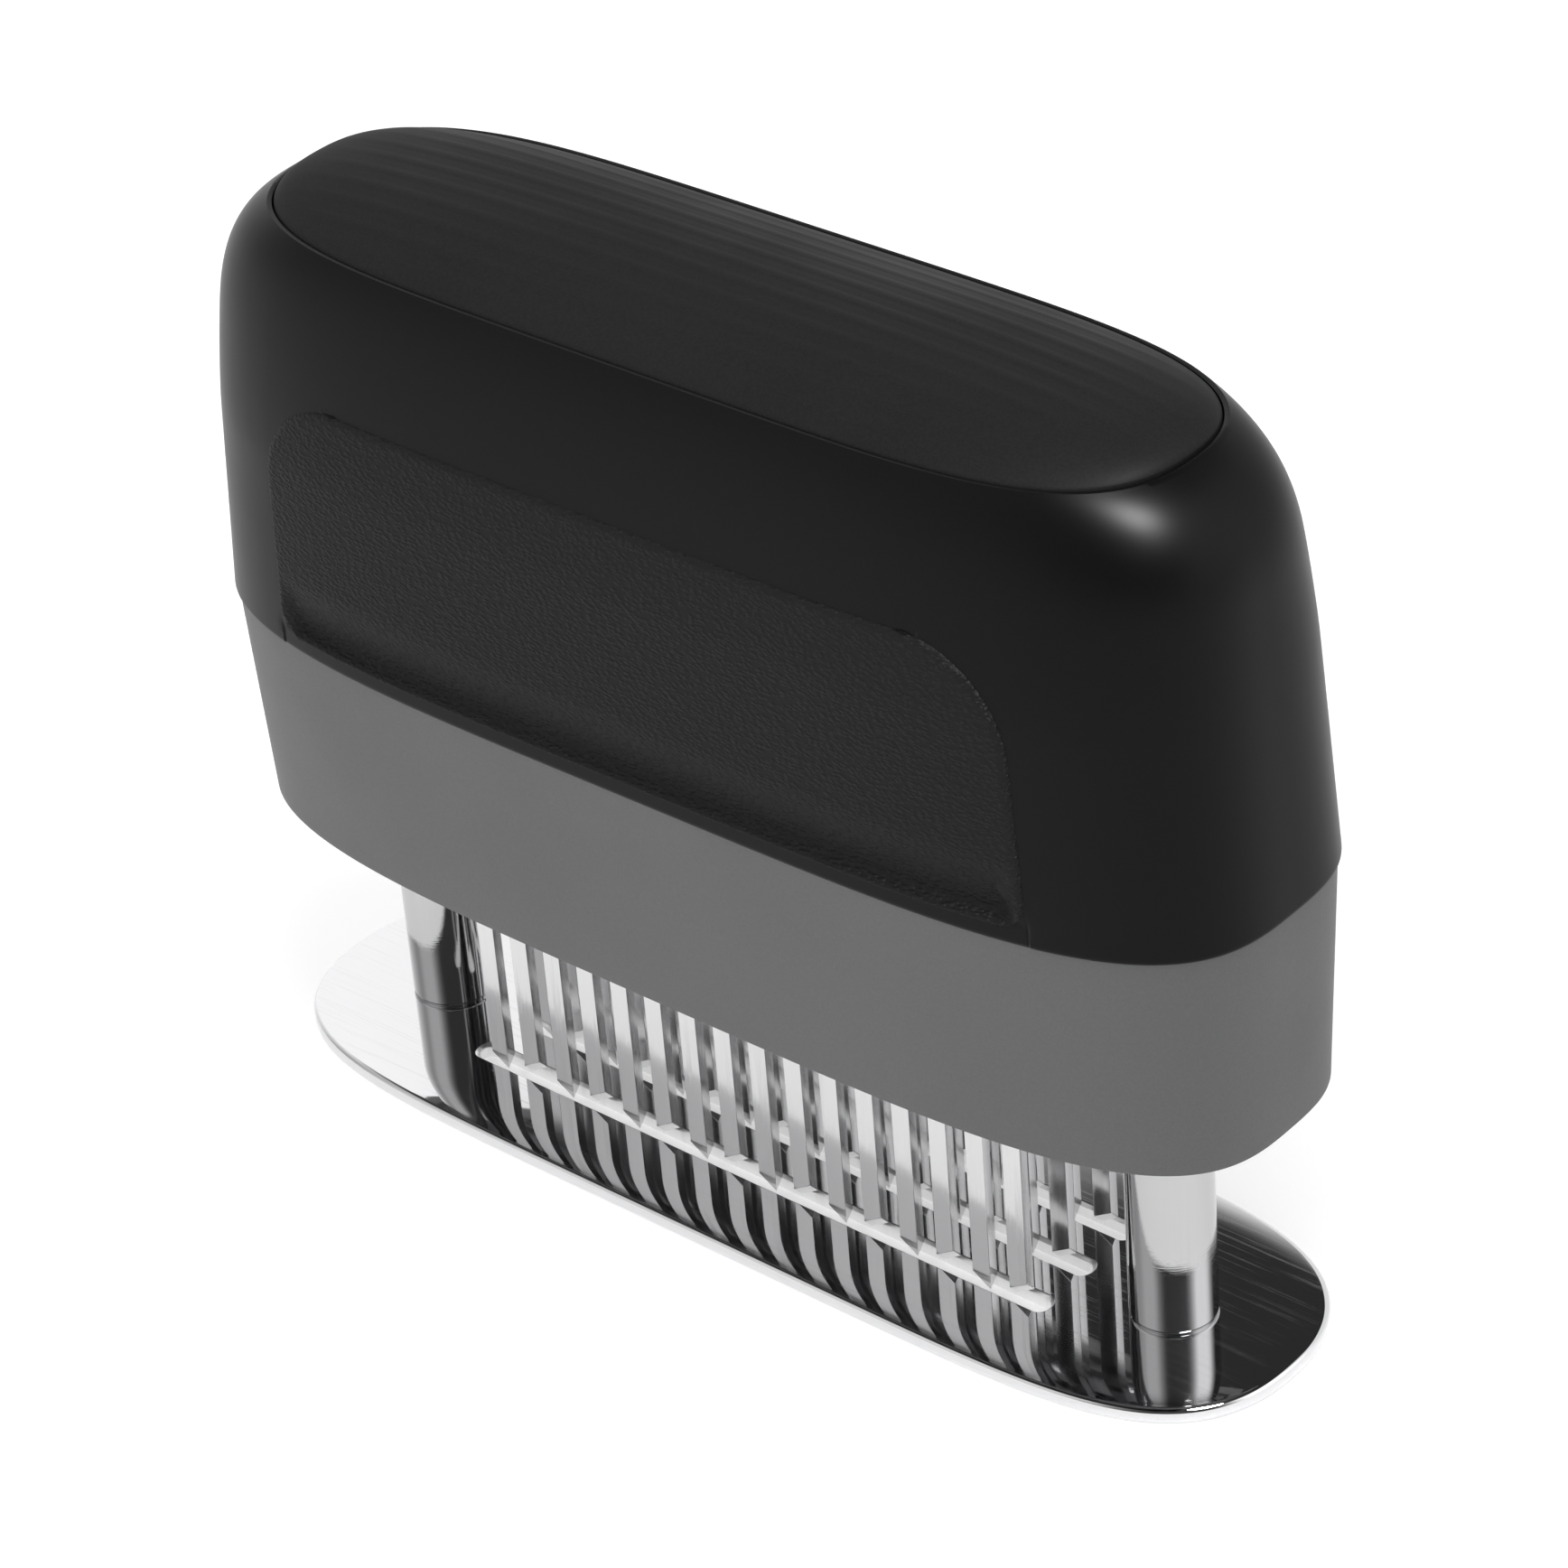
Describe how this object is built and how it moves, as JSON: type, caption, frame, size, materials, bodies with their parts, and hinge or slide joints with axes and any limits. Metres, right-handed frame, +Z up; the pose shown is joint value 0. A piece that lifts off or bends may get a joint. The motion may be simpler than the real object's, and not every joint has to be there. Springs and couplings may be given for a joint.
{
  "type": "blade meat tenderizer",
  "caption": "Upright hand-held blade meat tenderizer: a rounded black handle with rows of blades, sprung on two posts above a slotted steel guard plate.",
  "frame": {"origin": "centre of the guard plate's underside, at the middle of the part's footprint", "axes": "+X along the length, +Y to the rear, +Z up from the plate to the handle"},
  "size_m": [0.1519, 0.0496, 0.1243],
  "materials": {
    "polished_steel": "mirror-polished stainless steel",
    "blade_steel": "ground stainless strip with bright tips",
    "screw_steel": "satin stainless steel",
    "spring_steel": "drawn spring wire",
    "grey_plastic": "fine matt grey moulding",
    "inner_plastic": "plain black moulding",
    "bush_plastic": "natural acetal",
    "black_shell": "satin soft-touch black",
    "black_insert": "matt black with shallow lengthwise ribs",
    "grip_rubber": "matt black with a fine leather grain"
  },
  "bodies": {
    "guard": {"guard_plate": "polished_steel", "left_post": "polished_steel", "right_post": "polished_steel", "left_post_screw": "screw_steel", "right_post_screw": "screw_steel", "left_stop_washer": "screw_steel", "right_stop_washer": "screw_steel", "left_stop_screw": "screw_steel", "right_stop_screw": "screw_steel", "left_spring": "spring_steel", "right_spring": "spring_steel"},
    "handle": {"front_blade_row": "blade_steel", "middle_blade_row": "blade_steel", "rear_blade_row": "blade_steel", "bottom_cover": "grey_plastic", "cover_screws": "screw_steel", "blade_cassette": "inner_plastic", "cassette_cap": "inner_plastic", "cap_screws": "screw_steel", "inner_frame": "inner_plastic", "left_guide_bush": "bush_plastic", "right_guide_bush": "bush_plastic", "skirt_band": "grey_plastic", "handle_shell": "black_shell", "shell_screws": "screw_steel", "top_insert": "black_insert", "front_grip_pad": "grip_rubber", "rear_grip_pad": "grip_rubber"}
  },
  "joints": [
    {"name": "handle_press", "type": "slide", "parent": "guard", "child": "handle", "axis": [0, 0, -1], "range_m": [0, 0.028], "stiffness_N_per_m": 1200, "springref_m": -0.012, "deforming": ["left_spring", "right_spring"]}
  ]
}
